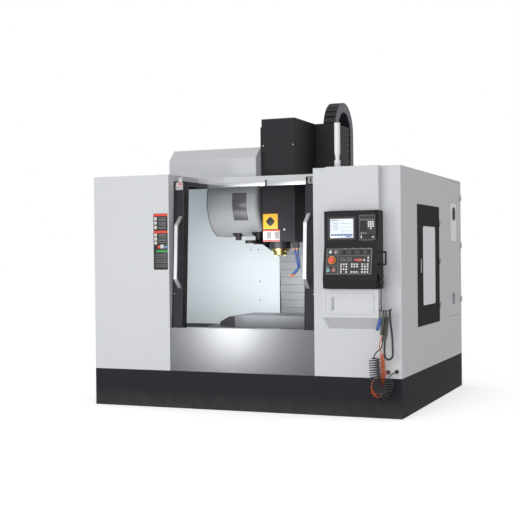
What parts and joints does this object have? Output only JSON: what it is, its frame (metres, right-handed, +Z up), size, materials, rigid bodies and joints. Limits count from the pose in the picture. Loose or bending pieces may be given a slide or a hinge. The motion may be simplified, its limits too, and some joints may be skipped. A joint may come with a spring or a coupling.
{
  "type": "cnc machining center",
  "caption": "Vertical machining centre in a sheet-metal enclosure with sliding front doors, spindle head, cross table, side tool magazine and control pendant.",
  "frame": {"origin": "middle of the machine's footprint on the floor", "axes": "+X to the operator's right, +Y from the operator's side to the back, +Z up"},
  "size_m": [2.933, 2.6167, 2.9],
  "materials": {
    "cast_iron": "machined and painted casting",
    "white_paint": "light grey textured powder coat",
    "dark_paint": "dark grey textured powder coat",
    "grey_paint": "mid grey powder coat",
    "stainless": "brushed stainless sheet",
    "steel": "ground steel",
    "black_steel": "black oxide steel",
    "glass": "laminated safety glass",
    "black_plastic": "moulded matt plastic",
    "screen": "lit screen behind a clear cover",
    "keys": "printed film with raised keys",
    "red_plastic": "red moulded plastic",
    "button_plastic": "moulded plastic",
    "lamp": "clear and dark plastic",
    "blue_plastic": "moulded plastic",
    "rubber": "black hose rubber",
    "orange_hose": "orange polyurethane tube"
  },
  "bodies": {
    "machine_frame": {"base_skirt": "dark_paint", "levelling_feet": "steel", "bed_casting": "cast_iron", "column_casting": "cast_iron", "axis_drives": "steel", "column_cover": "dark_paint", "cable_chain": "black_plastic", "magazine_cover": "grey_paint", "changer_gearbox": "cast_iron", "magazine_hood": "white_paint", "enclosure_panels": "white_paint", "left_front_panel": "white_paint", "right_front_panel": "white_paint", "front_apron": "stainless", "door_beam": "white_paint", "interior_linings": "white_paint", "pendant_housing": "dark_paint", "screen_unit": "screen", "control_panels": "keys", "tool_box": "white_paint", "signal_lamp": "lamp", "line_fittings": "black_plastic", "wash_guns": "black_plastic", "pendant_cord": "rubber", "hanging_hose": "rubber", "black_coil_hose": "rubber", "orange_coil_hose": "orange_hose"},
    "saddle": {"saddle_casting": "cast_iron"},
    "table": {"work_table": "steel", "table_end_guards": "dark_paint"},
    "spindle_head": {"head_casting": "cast_iron", "head_cover": "dark_paint", "spindle_motor": "black_steel", "spindle_housing": "black_steel", "coolant_nozzles": "blue_plastic"},
    "spindle": {"spindle_rotor": "steel"},
    "z_cover": {"z_cover_slider": "stainless"},
    "left_door": {"left_door": "dark_paint", "left_door_pane": "glass"},
    "right_door": {"right_door": "dark_paint", "right_door_pane": "glass"},
    "magazine_disc": {"magazine_disc": "steel"},
    "changer_shaft": {"changer_shaft": "steel"},
    "changer_arm": {"changer_arm": "steel"},
    "side_door": {"side_door": "dark_paint", "side_door_pane": "glass"},
    "cabinet_door": {"cabinet_door": "white_paint"},
    "cabinet_latch": {"cabinet_latch": "black_steel"},
    "tool_box_door": {"tool_box_door": "white_paint"},
    "tool_box_latch": {"tool_box_latch": "black_steel"},
    "estop_button": {"estop_button": "red_plastic"},
    "air_gun_lever": {"air_gun_lever": "blue_plastic"},
    "push_button_1": {"push_button_1": "button_plastic"},
    "selector_knob_1": {"selector_knob_1": "black_plastic"},
    "push_button_2": {"push_button_2": "button_plastic"},
    "selector_knob_2": {"selector_knob_2": "black_plastic"},
    "push_button_3": {"push_button_3": "button_plastic"},
    "selector_knob_3": {"selector_knob_3": "black_plastic"},
    "push_button_4": {"push_button_4": "button_plastic"},
    "selector_knob_4": {"selector_knob_4": "black_plastic"}
  },
  "joints": [
    {"name": "y_axis", "type": "slide", "parent": "machine_frame", "child": "saddle", "axis": [0, 1, 0], "range_m": [-0.35, 0.24]},
    {"name": "x_axis", "type": "slide", "parent": "saddle", "child": "table", "axis": [1, 0, 0], "range_m": [-0.765, 0.335]},
    {"name": "z_axis", "type": "slide", "parent": "machine_frame", "child": "spindle_head", "axis": [0, 0, 1], "range_m": [-0.35, 0.16], "deforming": ["cable_chain"]},
    {"name": "z_cover_slide", "type": "slide", "parent": "machine_frame", "child": "z_cover", "axis": [0, 0, 1], "range_m": [-0.175, 0.08]},
    {"name": "spindle_spin", "type": "hinge", "parent": "spindle_head", "child": "spindle", "pos_m": [-0.0105, -0.0855, 1.4], "axis": [0, 0, 1], "continuous": true},
    {"name": "left_door_slide", "type": "slide", "parent": "machine_frame", "child": "left_door", "axis": [1, 0, 0], "range_m": [0, 0.581]},
    {"name": "right_door_slide", "type": "slide", "parent": "machine_frame", "child": "right_door", "axis": [-1, 0, 0], "range_m": [0, 0.581]},
    {"name": "magazine_turn", "type": "hinge", "parent": "machine_frame", "child": "magazine_disc", "pos_m": [-0.5705, 0.0395, 1.88], "axis": [1, 0, 0], "continuous": true},
    {"name": "changer_stroke", "type": "slide", "parent": "machine_frame", "child": "changer_shaft", "axis": [0, 0, -1], "range_m": [0, 0.11]},
    {"name": "changer_swing", "type": "hinge", "parent": "changer_shaft", "child": "changer_arm", "pos_m": [-0.2305, -0.0855, 1.492], "axis": [0, 0, 1], "range_deg": [-8, 20]},
    {"name": "side_door_hinge", "type": "hinge", "parent": "machine_frame", "child": "side_door", "pos_m": [1.4585, 0.298, 1.262], "axis": [0, 0, 1], "range_deg": [0, 105]},
    {"name": "cabinet_door_hinge", "type": "hinge", "parent": "machine_frame", "child": "cabinet_door", "pos_m": [1.4585, 1.256, 1.411], "axis": [0, 0, 1], "range_deg": [0, 105]},
    {"name": "cabinet_latch_turn", "type": "hinge", "parent": "cabinet_door", "child": "cabinet_latch", "pos_m": [1.4455, 0.9195, 0.955], "axis": [1, 0, 0], "range_deg": [0, 90]},
    {"name": "tool_box_door_hinge", "type": "hinge", "parent": "machine_frame", "child": "tool_box_door", "pos_m": [1.25325, -1.2625, 0.958], "axis": [0, 0, 1], "range_deg": [0, 100]},
    {"name": "tool_box_latch_turn", "type": "hinge", "parent": "tool_box_door", "child": "tool_box_latch", "pos_m": [0.8975, -1.2575, 0.956], "axis": [0, 1, 0], "range_deg": [0, 90]},
    {"name": "estop_press", "type": "slide", "parent": "machine_frame", "child": "estop_button", "axis": [0, 0.9861, -0.166], "range_m": [0, 0.005]},
    {"name": "air_gun_squeeze", "type": "hinge", "parent": "machine_frame", "child": "air_gun_lever", "pos_m": [1.3105, -1.2275, 0.84], "axis": [0, -1, 0], "range_deg": [0, 8], "stiffness_Nm_per_rad": 2},
    {"name": "push_button_1_press", "type": "slide", "parent": "machine_frame", "child": "push_button_1", "axis": [0, 0.9861, -0.166], "range_m": [0, 0.003], "stiffness_N_per_m": 400},
    {"name": "push_button_2_press", "type": "slide", "parent": "machine_frame", "child": "push_button_2", "axis": [0, 0.9861, -0.166], "range_m": [0, 0.003], "stiffness_N_per_m": 400},
    {"name": "push_button_3_press", "type": "slide", "parent": "machine_frame", "child": "push_button_3", "axis": [0, 0.9861, -0.166], "range_m": [0, 0.003], "stiffness_N_per_m": 400},
    {"name": "push_button_4_press", "type": "slide", "parent": "machine_frame", "child": "push_button_4", "axis": [0, 0.9861, -0.166], "range_m": [0, 0.003], "stiffness_N_per_m": 400},
    {"name": "selector_knob_1_turn", "type": "hinge", "parent": "machine_frame", "child": "selector_knob_1", "pos_m": [1.0075, -1.26861, 1.389], "axis": [0, -0.9861, 0.166], "range_deg": [-135, 135]},
    {"name": "selector_knob_2_turn", "type": "hinge", "parent": "machine_frame", "child": "selector_knob_2", "pos_m": [1.0835, -1.26861, 1.389], "axis": [0, -0.9861, 0.166], "range_deg": [-135, 135]},
    {"name": "selector_knob_3_turn", "type": "hinge", "parent": "machine_frame", "child": "selector_knob_3", "pos_m": [1.1535, -1.26861, 1.389], "axis": [0, -0.9861, 0.166], "range_deg": [-135, 135]},
    {"name": "selector_knob_4_turn", "type": "hinge", "parent": "machine_frame", "child": "selector_knob_4", "pos_m": [1.2155, -1.26861, 1.389], "axis": [0, -0.9861, 0.166], "range_deg": [-135, 135]}
  ],
  "couplings": [
    {"joint": "z_cover_slide", "follows": "z_axis", "ratio": 0.5}
  ]
}
